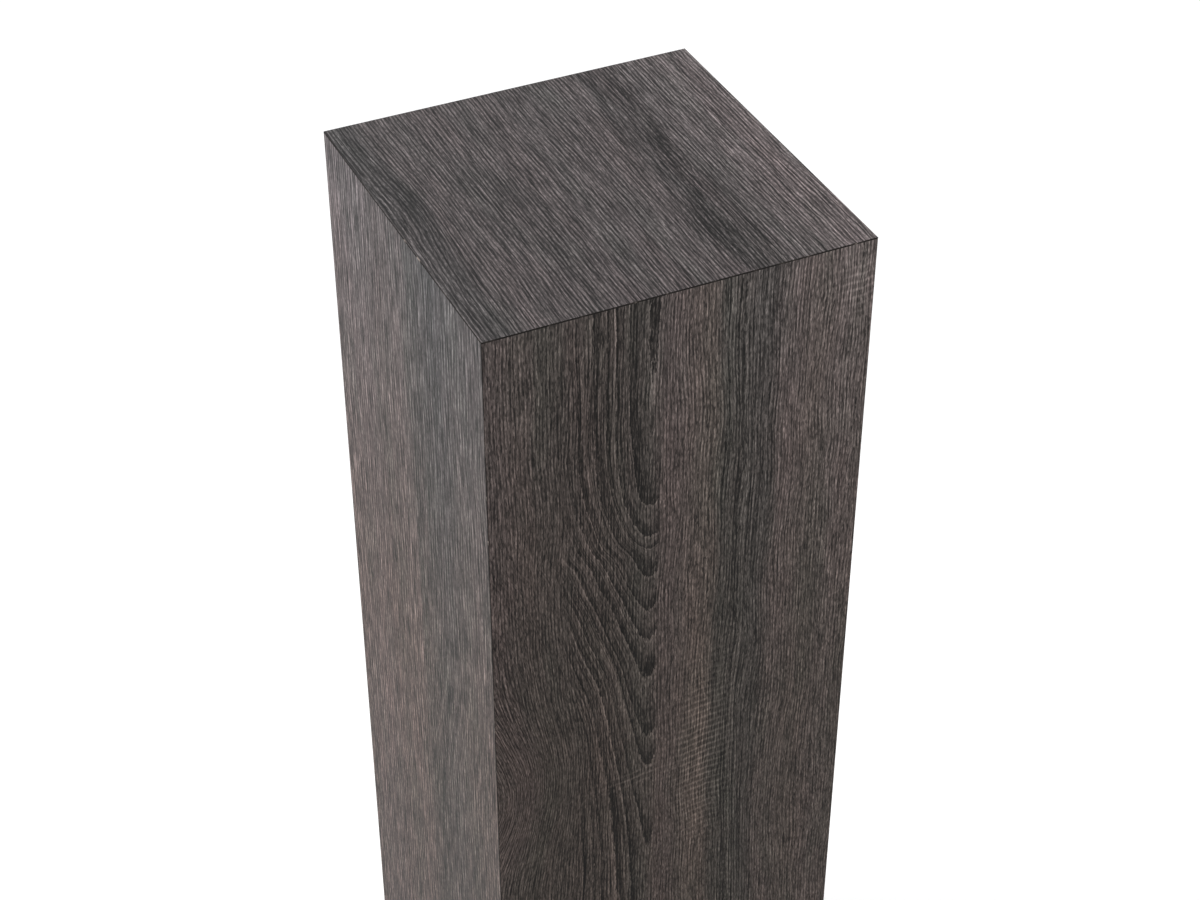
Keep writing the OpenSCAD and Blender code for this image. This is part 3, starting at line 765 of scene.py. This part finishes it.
front_decor = grey_oak_laminate(
    "front", sheet_w, side_l, seam=133.0, axis=127.0,
    depths=[(0.0, 2), (1.0, 100), (0.1, 4), (0.16, 8), (0.18, 13), (0.208, 23), (0.222, 31),
            (0.248, 40), (0.265, 47), (0.295, 56), (0.35, 70), (0.42, 82), (0.5, 92), (0.6, 97)],
    bands=[(0.0, "4B4341"), (1.0, "4F4745"), (0.1, "47403D"), (0.16, "433D3A"), (0.3, "443D3A"),
           (0.41, "433E3B"), (0.47, "4C4442"), (0.58, "504844"), (0.62, "44403D"), (0.72, "433F3D"),
           (0.78, "504846"), (0.86, "4D4643"), (0.93, "524A48")],
    lines=[(0.0, "000000"), (1.0, "404040"), (0.19, "303030"), (0.24, "FFFFFF"), (0.44, "FFFFFF"),
           (0.46, "202020"), (0.59, "303030"), (0.62, "C0C0C0"), (0.74, "B8B8B8"), (0.78, "303030")],
    shades=[((290.0, 60.0), (60.0, 160.0), 0.04), ((30.0, 10.0), (60.0, 80.0), 0.05),
            ((115.0, 95.0), (8.0, 85.0), -0.16), ((54.0, 110.0), (20.0, 70.0), -0.05),
            ((202.0, 200.0), (20.0, 160.0), -0.04), ((0.0, 340.0), (45.0, 150.0), -0.07)],
    # The cast is painted shade: darker and browner further down.
    painted_light_casts=("FFFFFF", "F7F4EE"),
    knot=((-8.0, 425.0), (52.0, 72.0), 42.0),
    saw_marks=[((176.0, 450.0), (24.0, 90.0), 1.6), ((290.0, 36.0), (20.0, 26.0), 1.1),
               ((112.0, 452.0), (28.0, 8.0), 1.5), ((296.0, 320.0), (14.0, 40.0), 0.4)],
    strengths=(0.4, 0.9, 1.3, 1.0, 0.28, 0.2), coarse=1.0, vessel_pitch=2.7, wander=14.0, seed=11.0)
left_decor = grey_oak_laminate(
    "left", sheet_w, side_l, seam=158.0, axis=166.0,
    depths=[(0.0, 3), (1.0, 64), (0.25, 10), (0.36, 20), (0.43, 38), (0.5, 56), (0.58, 62)],
    bands=[(0.0, "504746"), (1.0, "4C4442"), (0.2, "4F4645"), (0.35, "4D4442"), (0.5, "504745"),
           (0.54, "46403E"), (0.72, "464140"), (0.85, "4B4442")],
    lines=[(0.0, "101010"), (1.0, "303030"), (0.5, "202020"), (0.53, "B0B0B0"), (0.72, "A0A0A0"),
           (0.82, "202020")],
    shades=[((205.0, 550.0), (40.0, 50.0), -0.08), ((168.0, 610.0), (14.0, 55.0), -0.08)],
    # The cast is a cool painted reflection near the top, browner further down.
    painted_light_casts=("EAF6FD", "F8F3EC"), knot=((300.0, 120.0), (30.0, 40.0), -6.0),
    saw_marks=[((285.0, 500.0), (20.0, 50.0), 0.4)],
    strengths=(0.22, 0.35, 2.1, 1.1, 0.35, 0.15), coarse=1.8, vessel_pitch=5.0, wander=10.0, seed=23.0)
top_decor = grey_oak_laminate(
    "top", sheet_w, sheet_w, seam=400.0, axis=-60.0, depths=[(0.0, 14), (1.0, 66)],
    bands=[(0.0, "444040"), (1.0, "575050"), (0.06, "403C3C"), (0.1, "484242"), (0.3, "474141"),
           (0.5, "494343"), (0.64, "4A4444"), (0.68, "454040"), (0.74, "464040"), (0.8, "504A4A"),
           (0.93, "585050")],
    lines=[(0.0, "606060"), (1.0, "303030"), (0.08, "707070"), (0.12, "202020"), (0.62, "202020"),
           (0.67, "C0C0C0"), (0.75, "C0C0C0"), (0.8, "202020")],
    shades=[((14.0, 140.0), (12.0, 60.0), -0.13), ((224.0, 45.0), (8.0, 30.0), -0.2),
            ((216.0, 120.0), (8.0, 30.0), -0.2), ((203.0, 245.0), (9.0, 44.0), -0.2),
            ((92.0, 190.0), (9.0, 60.0), -0.06)],
    # The cast is a cool painted reflection, with painted shade darker towards the front.
    painted_light_casts=("EBEFEF", "E0E0DF"), knot=((20.0, 130.0), (18.0, 70.0), 6.0),
    saw_marks=[((60.0, 60.0), (30.0, 20.0), 0.3)],
    strengths=(0.18, 0.4, 1.5, 0.6, 0.5, 0.12), coarse=1.0, vessel_pitch=3.0, wander=5.0, seed=37.0)
right_decor = grey_oak_laminate(
    "right", sheet_w, side_l, seam=182.0, axis=174.0,
    depths=[(0.0, 4), (1.0, 86), (0.3, 12), (0.45, 24), (0.58, 52), (0.7, 78)],
    bands=[(0.0, "504745"), (1.0, "524A47"), (0.2, "4B4340"), (0.4, "443D3A"), (0.58, "403B38"),
           (0.62, "504745"), (0.8, "494240")],
    lines=[(0.0, "202020"), (1.0, "303030"), (0.25, "606060"), (0.4, "E0E0E0"), (0.59, "F0F0F0"),
           (0.62, "303030"), (0.85, "808080")],
    shades=[((60.0, 700.0), (80.0, 160.0), -0.05)],
    # The cast is painted shade: darker and browner further down.
    painted_light_casts=("FFFFFF", "F7F4EE"), knot=((300.0, 700.0), (40.0, 50.0), -36.0),
    saw_marks=[((70.0, 300.0), (24.0, 90.0), 0.8), ((230.0, 800.0), (22.0, 60.0), 0.7)],
    strengths=(0.4, 0.9, 1.3, 1.0, 0.28, 0.25), coarse=1.0, vessel_pitch=3.0, wander=16.0, seed=53.0)
back_decor = grey_oak_laminate(
    "back", sheet_w, side_l, seam=92.0, axis=101.0,
    depths=[(0.0, 8), (1.0, 90), (0.12, 16), (0.25, 34), (0.38, 64), (0.48, 82)],
    bands=[(0.0, "4C4442"), (1.0, "514846"), (0.28, "504744"), (0.31, "403B38"), (0.5, "45403D"),
           (0.7, "4E4644"), (0.85, "484140")],
    lines=[(0.0, "303030"), (1.0, "404040"), (0.29, "303030"), (0.32, "F0F0F0"), (0.5, "C0C0C0"),
           (0.65, "303030")],
    shades=[((240.0, 300.0), (60.0, 200.0), 0.05)],
    # The cast is painted shade: darker and browner further down.
    painted_light_casts=("FFFFFF", "F7F4EE"), knot=((300.0, 250.0), (38.0, 46.0), -34.0),
    saw_marks=[((50.0, 620.0), (24.0, 80.0), 0.9), ((200.0, 180.0), (26.0, 40.0), 0.5)],
    strengths=(0.4, 0.9, 1.3, 1.0, 0.28, 0.25), coarse=1.0, vessel_pitch=3.1, wander=16.0, seed=71.0)

for side, outward, decor in (("left", (-1, 0, 0), left_decor), ("right", (1, 0, 0), right_decor),
                             ("front", (0, -1, 0), front_decor), ("back", (0, 1, 0), back_decor),
                             ("top", (0, 0, 1), top_decor)):
    laminate_sheet(side, Vector(outward), decor, core)


# ---------------------------------------------------------------------------------------------
# Studio. A white floor, soft lights at the left, front and back, a large one overhead, and an even
# white surround.
def studio_floor():
    """A wide white floor, painted matt."""
    bpy.ops.object.select_all(action="DESELECT")
    bpy.ops.mesh.primitive_plane_add(size=40)
    floor = bpy.context.object
    floor.name = "studio_floor"
    material, _, surface = new_material("matt_white_paint", roughness=0.9)
    surface.inputs["Base Color"].default_value = linear("FEFEFE")
    floor.data.materials.append(material)


def softbox(name, place, aim, size, power, colour):
    """A square light, in metres and watts, that faces a point. The camera itself doesn't see it."""
    data = bpy.data.lights.new(name, "AREA")
    data.size = size
    data.energy = power
    data.color = linear(colour)[:3]
    light = bpy.data.objects.new(name, data)
    bpy.context.scene.collection.objects.link(light)
    light.location = place
    light.rotation_euler = (Vector(aim) - Vector(place)).to_track_quat("-Z", "Y").to_euler()
    light.visible_camera = False


studio_floor()
softbox("left_softbox", (-0.85, 0.35, 0.98), (-0.15, 0, 0.85), 0.4, 6.2, "FFFCFC")
softbox("front_softbox", (0.25, -0.62, 1.25), (0, -0.15, 0.95), 0.3, 2.05, "FBFCFF")
softbox("back_softbox", (0.1, 0.75, 1.6), (0, 0.1, 1.0), 0.4, 1.5, "FBFCFF")
softbox("overhead_softbox", (0, 4.5, 11.0), (0, 2.5, 0), 12.0, 1400, "FFFFFF")
world = bpy.data.worlds.new("white_surround")
world.use_nodes = True
world.node_tree.nodes["Background"].inputs["Color"].default_value = (1, 1, 1, 1)
world.node_tree.nodes["Background"].inputs["Strength"].default_value = 0.3
bpy.context.scene.world = world
bpy.context.scene.view_settings.view_transform = "Standard"
